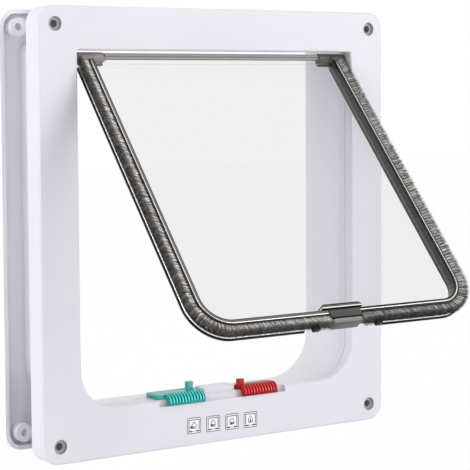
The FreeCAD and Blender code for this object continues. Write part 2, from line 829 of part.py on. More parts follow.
def magnet_cover():
    """Raised strip between the locks, hollow over the sill magnet."""
    body = new_body("magnet_cover")
    pad(body, "XY_Plane", sill, sill + cover_height, box_loop(
        -cover_half, cover_half, cover_front, cover_back, cover_bevel * 2))
    soften(body, "Chamfer", cover_bevel,
           lambda box: level_at(box.ZMin, box.ZMax, sill + cover_height))
    middle = (cover_front + cover_back) / 2
    half = magnet_width / 2 + magnet_clearance
    pocket(body, "XY_Plane", sill, sill + cover_height - cover_wall, box_loop(
        -(magnet_length / 2 + magnet_clearance), magnet_length / 2 + magnet_clearance,
        middle - half, middle + half))
    return body


def sill_magnet():
    body = new_body("sill_magnet")
    middle = (cover_front + cover_back) / 2
    pad(body, "XY_Plane", sill, sill + cover_height - cover_wall - magnet_clearance, box_loop(
        -(magnet_length / 2), magnet_length / 2,
        middle - magnet_width / 2, middle + magnet_width / 2))
    return body


red_post = slot_place - slot_half_width - post_thickness - stem_clearance * 6
green_post = hinge_depth + rim_back + stem_clearance * 2

right_pieces = {
    "rim": right_rim(),
    "corner_piece": right_corner_piece(),
    "hinge_pin": right_hinge_pin(),
    "brush_backing": right_brush_backing(),
    "brush_pile": right_brush_pile(),
}
pieces = [
    front_frame(),
    rear_frame(),
    flap_pane(),
    top_rail(),
    magnet_holder(),
    magnet_holder_cap(),
    flap_magnet(),
    sliding_lock("green_lock", -1, green_post, grip_outer + lock_travel, green_post + post_thickness),
    sliding_lock("red_lock", 1, red_post, grip_outer, step_front),
    lock_retainer(),
    detent_spring("green_detent_spring", -1),
    detent_spring("red_detent_spring", 1),
    magnet_cover(),
    sill_magnet(),
]
for name, piece in right_pieces.items():
    pieces.append(piece)
    pieces.append(mirrored("left_" + name, piece))
doc.recompute()

for thing in doc.Objects:
    if "Invalid" in thing.State or "Error" in thing.State:
        raise RuntimeError(thing.Name + " of " + thing.Label + " failed: " + str(thing.State))

os.makedirs("parts", exist_ok=True)
for piece in pieces:
    shape = piece.Shape
    if shape.isNull() or not shape.isValid():
        raise RuntimeError(piece.Label + " has no valid shape")
    shape.exportStep("parts/" + piece.Label + ".step")
    box = shape.BoundBox
    print(piece.Label, len(shape.Solids), "solids", round(shape.Volume), "cubic mm",
          [round(n, 2) for n in (box.XMin, box.XMax, box.YMin, box.YMax, box.ZMin, box.ZMax)])
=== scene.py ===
import json
import math
import random

import bpy
from mathutils import Matrix, Vector


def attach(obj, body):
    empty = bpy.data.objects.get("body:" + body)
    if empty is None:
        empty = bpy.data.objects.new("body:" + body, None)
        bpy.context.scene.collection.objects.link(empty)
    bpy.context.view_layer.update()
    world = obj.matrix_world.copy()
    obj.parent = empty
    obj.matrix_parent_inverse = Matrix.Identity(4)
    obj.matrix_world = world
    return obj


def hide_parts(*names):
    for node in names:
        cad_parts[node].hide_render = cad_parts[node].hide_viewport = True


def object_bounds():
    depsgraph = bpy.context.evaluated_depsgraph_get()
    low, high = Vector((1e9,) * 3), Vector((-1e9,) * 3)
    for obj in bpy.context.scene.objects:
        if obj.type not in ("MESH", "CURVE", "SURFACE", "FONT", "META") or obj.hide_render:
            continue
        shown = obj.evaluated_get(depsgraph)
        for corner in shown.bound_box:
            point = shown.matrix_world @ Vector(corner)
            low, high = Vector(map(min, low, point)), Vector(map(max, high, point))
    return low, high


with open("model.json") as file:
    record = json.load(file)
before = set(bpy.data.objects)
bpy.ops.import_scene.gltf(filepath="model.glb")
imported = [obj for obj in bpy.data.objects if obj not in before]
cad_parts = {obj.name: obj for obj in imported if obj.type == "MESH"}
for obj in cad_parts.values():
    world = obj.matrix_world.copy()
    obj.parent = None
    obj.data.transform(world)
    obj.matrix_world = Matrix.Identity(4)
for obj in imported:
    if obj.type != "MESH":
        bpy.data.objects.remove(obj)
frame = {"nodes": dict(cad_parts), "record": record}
cad_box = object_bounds()
nodes = frame["nodes"]
random.seed(7)

# Sizes in metres, in the frame's own axes: X across, Y in through the frame, Z up
MM = 0.001
FACE_Y = -14 * MM
HINGE_Y = -6 * MM
HINGE_Z = 97.5 * MM
SWING = math.radians(41.2)
FLOOR_Z = cad_box[0][2]
FLOOR_WIDTH = 6

# The front frame's screw holes, and the painted shade, a grey, in the recess round each of them
SCREW_X = 107 * MM
SCREW_Z = 115 * MM
RECESS_REACH = 4.8 * MM
RECESS_DEPTH = 0.15 * MM
RECESS_PAINTED_SHADE = 0.5

# The rear frame's skirt, which is painted a little whiter than its tunnel as painted light
SKIRT_START = 100 * MM
SKIRT_BLEND = 4 * MM
SKIRT_PAINTED_LIGHT = 1.17

# The flap as it hangs straight down from its hinge line: half widths across it, drops below it
RIM_HALF = 82.2 * MM
RIM_DROP = 178.8 * MM
RIM_CORNER = 14 * MM
FRONT_FLANGE = 2.8 * MM
BACK_FLANGE = 7.5 * MM
RIM_FRONT = -3.4 * MM
RIM_BACK = 5.2 * MM
RIM_TOP = 4.3 * MM
RIM_START = 10.05 * MM
NOTCH_END = 24.05 * MM
STOP_START = 17.8 * MM
HOLDER_RISE = 0.8 * MM

# Points this near to the rim's wall lie on it, and their measure counts down from minus 1 mm.
WALL_SKIN = 0.1 * MM
WALL_START = 1 * MM

# Highlight beads along the rim's flanges, a painted highlight on each flange's edge: how far in
# from the flange's edge, how far from its outer face to the bead's middle, and the bead's radius
LEFT_FRONT_INSET = 0.7 * MM
RIGHT_FRONT_INSET = 1.25 * MM
FRONT_BEAD_DEPTH = 0.12 * MM
FRONT_BEAD = 0.26 * MM
BACK_INSET = 1.35 * MM
BACK_BEAD_DEPTH = 1.3 * MM
BACK_BEAD = 0.62 * MM
BEAD_STEPS = 14

# Handle of a curve that turns a quarter of a circle, as a share of its radius
QUARTER_HANDLE = 0.5523

# Width of the rounded edges on each kind of moulding
RIM_EDGE = 0.22 * MM
CORNER_EDGE = 0.25 * MM
HOLDER_EDGE = 0.25 * MM
CAP_EDGE = 0.3 * MM
LOCK_EDGE = 0.16 * MM

# Points of a mesh nearer than this are merged, and its edges are told apart by their angle.
MOULDING_MERGE = 0.005 * MM
BEAD_MERGE = 0.002 * MM
FLAT_ANGLE = math.radians(1)
SHARP_ANGLE = math.radians(35)
SMOOTH_ANGLE = math.radians(40)

# Grip of a sliding lock, in millimetres: the axis that it curves round, how high its crests and
# slots lie on its curve, and its ribs. Faces that look more than this to the side are plain.
GRIP_AXIS_Y = -10.7
GRIP_AXIS_Z = -98.6
GRIP_RADIUS = 4.2
CREST_RISE = 0.25
SLOT_FLOOR = -0.5
SIDEWAYS = 0.5
RIB_WIDTH = 1
RIB_PITCH = 2
RIB_COUNT = 12
GREEN_RIBS = -37.2
RED_RIBS = 14.3

# Pile of the weather seal, from its root in the rim's channel to the tips of its bristles
PILE_BASE = 2.5 * MM
PILE_TIP = 9.1 * MM
LEG_EXTRA = 1 * MM
NOTCH_EXTRA = 1.3 * MM
TUFT_PITCH = 0.72 * MM
TUFT_WIDTH = 0.75 * MM
TUFT_DEPTH = 0.8 * MM
TUFT_KINDS = 3
FIBRES = 10
FIBRE_RADIUS = 0.13 * MM
FIBRE_TURN = 2.1
FIBRE_SHORTEST = 0.86
TUFT_SHORTEST = 0.97
LEAN_LENGTH = 8 * MM

# How much the fibres lean and the tufts sway and tilt, as slopes
LEAN_ACROSS = 0.035
LEAN_INWARD = 0.03
SWAY = 0.07
TILT = 0.04

# The pile is painted darker and lighter along the seal, in a wave that turns this far at each
# place:
# painted light on the clumps of fibres and painted shade between them.
PAINTED_STRIPE_TURN = 2.5
PAINTED_STRIPE_DEPTH = 0.42
STRIPE_NOISE = 0.1
TUFT_NOISE = 0.08

# The two halves of the seal: side, name, how far from the middle it starts, and its mean shade,
# which is painted light: the left half is painted lighter than the right
SEALS = [(1, "right", 11.4 * MM, 0.24), (-1, "left", 10.3 * MM, 0.5)]

# Rows of tufts from the front of the seal to its back: depth, share of the length, and how far
# the tufts lean to the front along the rim's legs and along its foot
PILE_ROWS = [(-1.7, 0.9, -0.46, -0.4), (-1.2, 0.96, -0.4, -0.32), (-0.6, 1.0, -0.33, -0.24),
             (0.0, 1.0, -0.25, -0.16), (0.6, 1.0, -0.18, -0.08), (1.2, 0.97, -0.1, 0.0)]

# Printed signs on the sill: places and sizes in millimetres, from the middle of each sign
SIGN_COUNT = 4
SIGN_MIDDLE = -113.9
SIGN_PITCH = 13.07
SIGN_SLOPE = -0.027
SIGN_SHIFT = -1.2
PRINT_HEIGHT = 0.05 * MM
GROUND_CORNER = 0.9
RING_CORNER = 1.0
RING_LINE = 0.45
HOUSE_LINE = 0.38
FIGURE_CORNER = 0.35

# Left, right, bottom and top of each square shape of a sign
GROUND = (-4.5, 4.5, -4.4, 4.4)
RING = (-4.75, 4.75, -4.65, 4.65)
DOOR_FRAME = [
    ("post", (-3.75, -3.15, -2.4, 3.6)),
    ("post", (3.15, 3.75, -2.4, 3.6)),
    ("beam", (-3.75, 3.75, 3.1, 3.6)),
    ("sill_line", (-1.5, 1.5, -3.35, -3.1)),
]
DASHES = [(-3.9, -1.4, -3.6, -2.85), (1.4, 3.9, -3.6, -2.85)]
FIGURE = (-0.5, 0.5, -1.6, 0.3)
HOUSE = [(-1.6, -1.7), (1.6, -1.7), (1.6, 0.6), (0, 2.5), (-1.6, 0.6)]

# Arrows of the first three signs: where the tip is, and how far the shaft reaches from it
ARROWS = [(-3.0, 3.2), (-2.0, 2.9), (-1.3, 2.4)]
ARROW_MIDDLE = -0.8
ARROW_HEAD = 1.5
ARROW_HALF = 0.95
SHAFT_START = 1.3
SHAFT_HALF = 0.35

# Camera of the photograph
CAMERA_PLACE = Vector((-0.5014, -0.77104, 0.07638))
CAMERA_YAW = math.radians(31.944)
CAMERA_PITCH = math.radians(3.559)
CAMERA_ROLL = math.radians(-0.502)
SENSOR = 36
LENS = 121.0
SHIFT_X = 0.1184
SHIFT_Y = -0.0899

# Lamps, all aimed at one point: name, place, width, height and power
LAMP_TARGET = Vector((0, 0, 0))
LAMPS = [
    ("right", (1.5, -1.6, 0.5), 1.4, 1.4, 14),
    ("front_right", (1.0, -2.0, 0.7), 1.6, 1.2, 8),
    ("left", (-1.9, -0.3, 0.4), 1.4, 1.4, 12),
    ("front_left", (-1.4, -1.2, 1.5), 1.2, 1.2, 3.5),
    ("behind_left", (-1.9, 0.6, 0.5), 1.4, 1.4, 7.5),
    ("top", (0, 0.3, 1.8), 2, 1.2, 9),
]
WORLD_COLOUR = (0.97, 0.97, 1, 1)
WORLD_STRENGTH = 0.5
FLOOR_COLOUR = (0.93, 0.93, 0.94, 1)
FLOOR_ROUGHNESS = 0.9
FLOOR_GLOW = 0.97
WHITE = (1, 1, 1, 1)

# Patterns in the finishes: how fine each of them is, and the span of shades or the depth it gives
CLOUD_SCALE = 14
CLOUD_START = 0.3
CLOUD_END = 0.7
SMOKE_SCALE = 60
SMOKE_SHADES = (0.8, 1.2)
GRAIN_SCALE = 2600
GRAIN_STRENGTH = 0.12
GRAIN_DEPTH = 0.04 * MM
FIBRE_SCALE = 1600
FIBRE_SHADES = (0.1, 1.9)
TUFT_SHADES = (0.16, 1.4)

# Share of red, green and blue in the warm grey of the smoked plastic
SMOKE_TINT = (1.04, 1, 0.95)

# Greys from the back of the rim's wall to its front (below -1) and out across its flanges (from
# 0):
# the rim's dark smoke with painted reflections on its wall, painted highlight lines on its
# flanges' rounded edges and painted shadow lines beside them, painted differently on the left and
# right
WALL_BANDS = [(-9.6, 0.02), (-8.0, 0.008), (-7.1, 0.01), (-6.8, 0.12), (-5.4, 0.1), (-4.8, 0.05),
              (-2.0, 0.06), (-1.7, 0.01), (-0.9, 0.008), (0.3, 0.015)]
LEFT_FRONT_BANDS = [(0.45, 0.05), (0.7, 0.12), (1.85, 0.17), (2.05, 0.3), (2.35, 0.3),
                    (2.5, 0.006)]
RIGHT_FRONT_BANDS = [(0.6, 0.02), (1.2, 0.03), (1.35, 0.25), (1.7, 0.25), (1.85, 0.006)]
BACK_BANDS = [(3.0, 0.04), (3.6, 0.05), (5.4, 0.08), (6.3, 0.06), (6.6, 0.006), (7.6, 0.006)]

# Greys up the magnet's holder, by height over its front slab: its dark smoke, with a painted
# highlight line where the hump meets the slab (0.22 to 0.8) and painted shade lines between its
# parts and along its top
HOLDER_BANDS = [(-9.2, 0.03), (-8.8, 0.22), (-6.9, 0.3), (-6.45, 0.01), (-5.95, 0.01),
                (-5.6, 0.07), (-1.3, 0.09), (-0.95, 0.01), (0.1, 0.01), (0.22, 0.9), (0.8, 0.9),
                (0.95, 0.13), (1.8, 0.1), (2.0, 0.008), (2.8, 0.008)]

# Greys across the rail, by height over the hinge line: painted light and painted shade lines that
# stand in for the light that the clear rod bends and throws back
RAIL_BANDS = [(-2.1, 0.04), (-1.6, 0.04), (-1.35, 0.42), (-0.3, 0.46), (-0.1, 0.06),
              (0.45, 0.06), (0.7, 0.46), (1.6, 0.55), (2.1, 0.4)]

# Greys along a bristle of the pile, from its root to its tip: painted shade at the root beside the
# flange, light in the middle, darker towards the tip
PILE_BANDS = [(0, 0.4), (0.1, 0.88), (0.54, 0.8), (0.66, 0.34), (0.78, 0.11), (1, 0.06)]

# Opaque finishes: the material's name, its darker and lighter colour, its roughness and its shine
FRONT_WHITE = ("front_white", (0.74, 0.735, 0.78), (0.77, 0.765, 0.805), 0.36, 0.5)
REAR_WHITE = ("rear_white", (0.79, 0.785, 0.82), (0.82, 0.815, 0.85), 0.36, 0.5)
# Near-white finish of the highlight beads, a painted highlight
EDGE = ("painted_edge_highlight", (0.9, 0.89, 0.87), (0.95, 0.94, 0.92), 0.25, 0.5)
FINISHES = {
    "white": ("white_moulding", (0.74, 0.735, 0.78), (0.77, 0.765, 0.805), 0.36, 0.5),
    "green": ("green_moulding", (0.006, 0.3, 0.28), (0.012, 0.36, 0.34), 0.24, 0.5),
    # Lock grips: painted highlight on the crests and painted shade in the slots, in the lock's own
    # colour
    "green_crest_painted_highlight": ("green_crest_painted_highlight", (0.04, 0.62, 0.56), (0.06, 0.7, 0.64), 0.24, 0.5),
    "green_slot": ("green_slot", (0, 0.13, 0.13), (0, 0.18, 0.18), 0.6, 0.1),
    "red": ("red_moulding", (0.36, 0.003, 0.004), (0.44, 0.005, 0.006), 0.3, 0.2),
    "red_crest_painted_highlight": ("red_crest_painted_highlight", (0.66, 0.03, 0.035), (0.76, 0.05, 0.055), 0.24, 0.4),
    "red_slot": ("red_slot", (0.22, 0, 0.001), (0.28, 0, 0.002), 0.6, 0.1),
    "smoked": ("smoked_moulding", (0.03, 0.028, 0.026), (0.05, 0.047, 0.043), 0.2, 0.5),
    # Rounded edges of the corner pieces and the holder: near-black painted shade lines
    "smoked_edge_painted_shade": ("smoked_edge_painted_shade", (0.006, 0.006, 0.006), (0.012, 0.012, 0.012), 0.35, 0.15),
    # Corner pieces: the rim's smoke painted lighter as painted light, more on the left piece than
    # the right
    "smoked_painted_half_lit": ("smoked_painted_half_lit", (0.1, 0.095, 0.086), (0.17, 0.16, 0.145), 0.3, 0.2),
    "smoked_painted_lit": ("smoked_painted_lit", (0.29, 0.26, 0.24), (0.38, 0.34, 0.32), 0.3, 0.2),
    "backing": ("woven_backing", (0.03, 0.03, 0.03), (0.07, 0.068, 0.065), 0.8, 0.5),
    "steel": ("plain_steel", (0.5, 0.5, 0.52), (0.6, 0.6, 0.62), 0.3, 0.5),
    "white_ink": ("white_ink", (0.9, 0.9, 0.9), (0.94, 0.94, 0.94), 0.5, 0.5),
    "grey_ink": ("grey_ink", (0.1, 0.1, 0.11), (0.14, 0.14, 0.15), 0.5, 0.5),
    "black_ink": ("black_ink", (0.01, 0.01, 0.012), (0.02, 0.02, 0.022), 0.5, 0.5),
}

# Finish of a node by its material slot, and of the nodes that have one of their own
SLOT_LOOKS = {
    "white_plastic": "white",
    "inner_plastic": "white",
    "clear_plastic": "clear",
    "smoked_plastic": "smoked",
    "pin_steel": "steel",
    "seal_backing": "backing",
    "seal_pile": "pile",
    "magnet": "steel",
    "green_plastic": "green",
    "red_plastic": "red",
    "spring_steel": "steel",
}
NODE_LOOKS = {"top_rail": "rail", "front_frame": "front_white", "rear_frame": "rear_white"}
NODE_SLOTS = {part["node"]: part["material_slot"] for part in frame["record"]["subparts"]}

# The flap hangs from its hinge line and is swung outwards.
HANG = Matrix.Translation((0, HINGE_Y, HINGE_Z)) @ Matrix.Rotation(-SWING, 4, "X")


def make_camera():
    """Looks right and a little down, with the turn and shift of the photograph."""
    forward = Vector((math.sin(CAMERA_YAW) * math.cos(CAMERA_PITCH),
                      math.cos(CAMERA_YAW) * math.cos(CAMERA_PITCH),
                      -math.sin(CAMERA_PITCH)))
    level = Vector((math.cos(CAMERA_YAW), -math.sin(CAMERA_YAW), 0))
    upright = level.cross(forward)
    right = level * math.cos(CAMERA_ROLL) + upright * math.sin(CAMERA_ROLL)
    up = upright * math.cos(CAMERA_ROLL) - level * math.sin(CAMERA_ROLL)
    turn = Matrix((right, up, -forward)).transposed().to_4x4()
    data = bpy.data.cameras.new("camera")
    data.sensor_width = SENSOR
    data.lens = LENS
    data.shift_x = SHIFT_X
    data.shift_y = SHIFT_Y
    camera = bpy.data.objects.new("camera", data)
    camera.matrix_world = Matrix.Translation(CAMERA_PLACE) @ turn
    bpy.context.scene.collection.objects.link(camera)
    bpy.context.scene.camera = camera


def make_lights():
    for name, place, width, height, power in LAMPS:
        data = bpy.data.lights.new(name, "AREA")
        data.shape = "RECTANGLE"
        data.size = width
        data.size_y = height
        data.energy = power
        light = bpy.data.objects.new(name, data)
        light.location = place
        light.rotation_euler = (LAMP_TARGET - Vector(place)).to_track_quat("-Z", "Y").to_euler()
        bpy.context.scene.collection.objects.link(light)


def principled(name):
    material = bpy.data.materials.new(name)
    material.use_nodes = True
    tree = material.node_tree
    return material, tree, tree.nodes["Principled BSDF"]


def arithmetic(tree, kind, operation, first, second=None):
    """A node that works on two sockets, on a socket and a fixed value, or on one socket."""
    node = tree.nodes.new(kind)
    node.operation = operation
    tree.links.new(first, node.inputs[0])
    if isinstance(second, bpy.types.NodeSocket):
        tree.links.new(second, node.inputs[1])
    elif second is not None:
        node.inputs[1].default_value = second
    return node


def calculated(tree, operation, first, second=None):
    return arithmetic(tree, "ShaderNodeMath", operation, first, second).outputs[0]


def spread(tree, value, start, end, low, high):
    """Turns a value that runs from start to end into one that runs from low to high."""
    node = tree.nodes.new("ShaderNodeMapRange")
    node.inputs["From Min"].default_value = start
    node.inputs["From Max"].default_value = end
    node.inputs["To Min"].default_value = low
    node.inputs["To Max"].default_value = high
    tree.links.new(value, node.inputs["Value"])
    return node.outputs["Result"]


def multiplied(tree, colour, amount):
    mix = tree.nodes.new("ShaderNodeMix")
    mix.data_type = "RGBA"
    mix.blend_type = "MULTIPLY"
    mix.inputs["Factor"].default_value = 1
    tree.links.new(colour, mix.inputs[6])
    tree.links.new(amount, mix.inputs[7])
    return mix.outputs[2]


def object_place(tree):
    """The place of a point on its own piece."""
    return tree.nodes.new("ShaderNodeTexCoord").outputs["Object"]


def object_axis(tree, axis):
    axes = tree.nodes.new("ShaderNodeSeparateXYZ")
    tree.links.new(object_place(tree), axes.inputs[0])
    return axes.outputs[axis]


def object_noise(tree, scale, detail):
    """A noise pattern that sits still on the piece."""
    noise = tree.nodes.new("ShaderNodeTexNoise")
    noise.inputs["Scale"].default_value = scale
    noise.inputs["Detail"].default_value = detail
    tree.links.new(object_place(tree), noise.inputs["Vector"])
    return noise.outputs["Fac"]


def stored(tree, name):
    """A measure that is stored on the piece's own mesh."""
    reading = tree.nodes.new("ShaderNodeAttribute")
    reading.attribute_name = name
    return reading.outputs["Fac"]


def clouded(tree, low, high):
    """A colour that drifts between two others in soft clouds."""
    blend = tree.nodes.new("ShaderNodeValToRGB")
    darker, lighter = blend.color_ramp.elements
    darker.position = CLOUD_START
    darker.color = (*low, 1)
    lighter.position = CLOUD_END
    lighter.color = (*high, 1)
    tree.links.new(object_noise(tree, CLOUD_SCALE, 2), blend.inputs["Fac"])
    return blend.outputs["Color"]


def bands(tree, measure, stops):
    """Warm greys that follow a measure in millimetres, from stop to stop."""
    low = stops[0][0]
    high = stops[-1][0]
    blend = tree.nodes.new("ShaderNodeValToRGB")
    elements = blend.color_ramp.elements
    while len(elements) < len(stops):
        elements.new(0.5)
    for element, (place, grey) in zip(elements, stops):
        element.position = (place - low) / (high - low)
        element.color = (*(grey * share for share in SMOKE_TINT), 1)
    tree.links.new(spread(tree, measure, low, high, 0, 1), blend.inputs["Fac"])
    return blend.outputs["Color"]


def add_grain(tree, shade):
    """The fine grain of a mould."""
    bump = tree.nodes.new("ShaderNodeBump")
    bump.inputs["Strength"].default_value = GRAIN_STRENGTH
    bump.inputs["Distance"].default_value = GRAIN_DEPTH
    tree.links.new(object_noise(tree, GRAIN_SCALE, 2), bump.inputs["Height"])
    tree.links.new(bump.outputs["Normal"], shade.inputs["Normal"])


def white_to_camera(tree, lit, seen):
    """Mixes a plain white seen by the camera and in reflections with what lights the object."""
    path = tree.nodes.new("ShaderNodeLightPath").outputs
    direct = calculated(tree, "MAXIMUM", path["Is Camera Ray"], path["Is Glossy Ray"])
    through = calculated(tree, "MAXIMUM", direct, path["Is Transmission Ray"])
    mix = tree.nodes.new("ShaderNodeMixShader")
    tree.links.new(through, mix.inputs[0])
    tree.links.new(lit, mix.inputs[1])
    tree.links.new(seen, mix.inputs[2])
    return mix.outputs[0]


def make_world():
    world = bpy.data.worlds.new("studio")
    world.use_nodes = True
    tree = world.node_tree
    tree.nodes.clear()
    output = tree.nodes.new("ShaderNodeOutputWorld")
    lit = tree.nodes.new("ShaderNodeBackground")
    lit.inputs["Color"].default_value = WORLD_COLOUR
    lit.inputs["Strength"].default_value = WORLD_STRENGTH
    seen = tree.nodes.new("ShaderNodeBackground")
    seen.inputs["Color"].default_value = WHITE
    seen.inputs["Strength"].default_value = 1
    tree.links.new(white_to_camera(tree, lit.outputs[0], seen.outputs[0]), output.inputs[0])
    bpy.context.scene.world = world


def floor_white():
    """White where the camera looks at it, with a faint shadow left in it."""
    material, tree, shade = principled("floor_white")
    shade.inputs["Base Color"].default_value = FLOOR_COLOUR
    shade.inputs["Roughness"].default_value = FLOOR_ROUGHNESS
    glow = tree.nodes.new("ShaderNodeEmission")
    glow.inputs["Color"].default_value = WHITE
    glow.inputs["Strength"].default_value = 1
    seen = tree.nodes.new("ShaderNodeMixShader")
    seen.inputs[0].default_value = FLOOR_GLOW
    tree.links.new(shade.outputs[0], seen.inputs[1])
    tree.links.new(glow.outputs[0], seen.inputs[2])
    tree.links.new(white_to_camera(tree, shade.outputs[0], seen.outputs[0]),
                   tree.nodes["Material Output"].inputs["Surface"])
    return material


def moulded_plastic(name, low, high, roughness, shine, shading=None):
    """Opaque moulded plastic, with a faint grain and a slight unevenness of colour."""
    material, tree, shade = principled(name)
    colour = clouded(tree, low, high)
    if shading:
        colour = multiplied(tree, colour, shading(tree))
    tree.links.new(colour, shade.inputs["Base Color"])
    shade.inputs["Roughness"].default_value = roughness
    shade.inputs["Specular IOR Level"].default_value = shine
    add_grain(tree, shade)
    return material


def painted_recess_shade(tree):
    """Painted shade: a grey painted into the recesses round the front frame's screw holes."""
    kind = "ShaderNodeVectorMath"
    folded = arithmetic(tree, kind, "ABSOLUTE", object_place(tree)).outputs["Vector"]
    flat = arithmetic(tree, kind, "MULTIPLY", folded, (1, 0, 1)).outputs["Vector"]
    screw = (SCREW_X, 0, SCREW_Z)
    away = arithmetic(tree, kind, "DISTANCE", flat, screw).outputs["Value"]
    near = calculated(tree, "LESS_THAN", away, RECESS_REACH)
    sunk = calculated(tree, "GREATER_THAN", object_axis(tree, "Y"), FACE_Y + RECESS_DEPTH)
    inside = calculated(tree, "MULTIPLY", near, sunk)
    return spread(tree, inside, 0, 1, 1, RECESS_PAINTED_SHADE)


def painted_skirt_light(tree):
    """Painted light: a little whiter on the rear frame's skirt than in its tunnel, of the same
    plastic.
    """
    out = calculated(tree, "ABSOLUTE", object_axis(tree, "X"))
    return spread(tree, out, SKIRT_START, SKIRT_START + SKIRT_BLEND, 1, SKIRT_PAINTED_LIGHT)


def smoke_with_painted_light(name, measure, stops, roughness):
    """Smoked plastic in bands along a stored measure: painted highlights, reflections and shade
    lines.
    """
    material, tree, shade = principled(name)
    colour = bands(tree, stored(tree, measure), stops)
    smoke = spread(tree, object_noise(tree, SMOKE_SCALE, 2), 0, 1, *SMOKE_SHADES)
    tree.links.new(multiplied(tree, colour, smoke), shade.inputs["Base Color"])
    shade.inputs["Roughness"].default_value = roughness
    shade.inputs["Specular IOR Level"].default_value = 0.2
    add_grain(tree, shade)
    return material


def rail_plastic():
    """The clear rod of the rail, with painted light and dark lines where it bends and throws back
    light.
    """
    material, tree, shade = principled("rail_rod")
    height = calculated(tree, "SUBTRACT", object_axis(tree, "Z"), HINGE_Z)
    millimetres = calculated(tree, "MULTIPLY", height, 1 / MM)
    tree.links.new(bands(tree, millimetres, RAIL_BANDS), shade.inputs["Base Color"])
    shade.inputs["Roughness"].default_value = 0.2
    return material


def pile_fibre():
    """Grey nylon bristle: dark at root (painted shade) and tip, painted light and random tone tuft
    to tuft.
    """
    material, tree, shade = principled("pile_grey")
    along = bands(tree, stored(tree, "height"), PILE_BANDS)
    tuft_tone_and_painted_light = spread(tree, stored(tree, "tuft_tone_and_painted_light"), 0, 1, *TUFT_SHADES)
    fine = spread(tree, object_noise(tree, FIBRE_SCALE, 3), 0, 1, *FIBRE_SHADES)
    tree.links.new(multiplied(tree, multiplied(tree, along, tuft_tone_and_painted_light), fine),
                   shade.inputs["Base Color"])
    shade.inputs["Roughness"].default_value = 0.4
    shade.inputs["Sheen Weight"].default_value = 0.1
    return material


def painted_edge_highlight():
    """A highlight bead's finish, a painted highlight: near-white, it throws back the white round
    it like a mirror.
    """
    material = moulded_plastic(*EDGE)
    material.node_tree.nodes["Principled BSDF"].inputs["Metallic"].default_value = 0.75
    return material


def clear_plastic():
    material, tree, shade = principled("clear_sheet")
    shade.inputs["Base Color"].default_value = (0.865, 0.867, 0.874, 1)
    shade.inputs["Transmission Weight"].default_value = 1
    shade.inputs["Roughness"].default_value = 0.02
    shade.inputs["IOR"].default_value = 1.1
    return material


def make_looks():
    looks = {look: moulded_plastic(*finish) for look, finish in FINISHES.items()}
    # The front frame's white has painted shade in its screw recesses.
    looks["front_white"] = moulded_plastic(*FRONT_WHITE, painted_recess_shade)
    # The rear frame's white is painted lighter on its skirt, as painted light.
    looks["rear_white"] = moulded_plastic(*REAR_WHITE, painted_skirt_light)
    # The left and right rims take differently painted light, for the light on each side.
    looks["left_rim"] = smoke_with_painted_light(
        "left_rim_plastic", "reach", WALL_BANDS + LEFT_FRONT_BANDS + BACK_BANDS, 0.22)
    looks["right_rim"] = smoke_with_painted_light(
        "right_rim_plastic", "reach", WALL_BANDS + RIGHT_FRONT_BANDS + BACK_BANDS, 0.22)
    looks["holder"] = smoke_with_painted_light("holder_plastic", "rise", HOLDER_BANDS, 0.25)
    looks["rail"] = rail_plastic()
    looks["edge"] = painted_edge_highlight()
    looks["pile"] = pile_fibre()
    looks["clear"] = clear_plastic()
    return looks


LOOKS = make_looks()


def dress(piece, looks):
    """Gives a piece one finish for each group of its faces."""
    while len(piece.data.materials) < len(looks):
        piece.data.materials.append(None)
    for number, look in enumerate(looks):
        piece.data.materials[number] = LOOKS[look]


def dress_nodes():
    """Gives each node of the frame its finish."""
    for name, node in nodes.items():
        look = LOOKS[NODE_LOOKS.get(name, SLOT_LOOKS[NODE_SLOTS[name]])]
        if not node.material_slots:
            node.data.materials.append(look)
        for slot in node.material_slots:
            slot.material = look


def deselect():
    bpy.ops.object.select_all(action="DESELECT")


def make_active(piece):
    deselect()
    piece.select_set(True)
    bpy.context.view_layer.objects.active = piece


def joined(pieces):
    deselect()
    for piece in pieces:
        piece.select_set(True)
    bpy.context.view_layer.objects.active = pieces[0]
    bpy.ops.object.join()
    return bpy.context.object


def settle(piece, place=None):
    """Puts a piece's place into its mesh, so that its object sits at the origin."""
    if place is not None:
        piece.matrix_world = place @ piece.matrix_world
        bpy.context.view_layer.update()
    make_active(piece)
    bpy.ops.object.transform_apply(location=True, rotation=True, scale=True)


def keep(piece, name, body, slot, looks, *stands_for):
    """Names a finished piece, gives it its finishes and lets it ride on its body."""
    piece.name = name
    piece.data.name = name
    dress(piece, looks)
    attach(piece, body)
    if stands_for:
        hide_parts(*stands_for)


def make_floor():
    deselect()
    bpy.ops.mesh.primitive_plane_add(size=FLOOR_WIDTH, location=(0, 0, FLOOR_Z))
    floor = bpy.context.object
    floor.name = "floor"
    floor.data.materials.append(floor_white())


def flat_outline(corners, name):
    """A flat face with these corners, in millimetres, on the plane Y = 0."""
    deselect()
    bpy.ops.mesh.primitive_circle_add(vertices=len(corners), radius=MM, fill_type="NGON")
    piece = bpy.context.object
    piece.name = name
    for vertex, (across, up) in zip(piece.data.vertices, corners):
        vertex.co = (across * MM, 0, up * MM)
    return piece


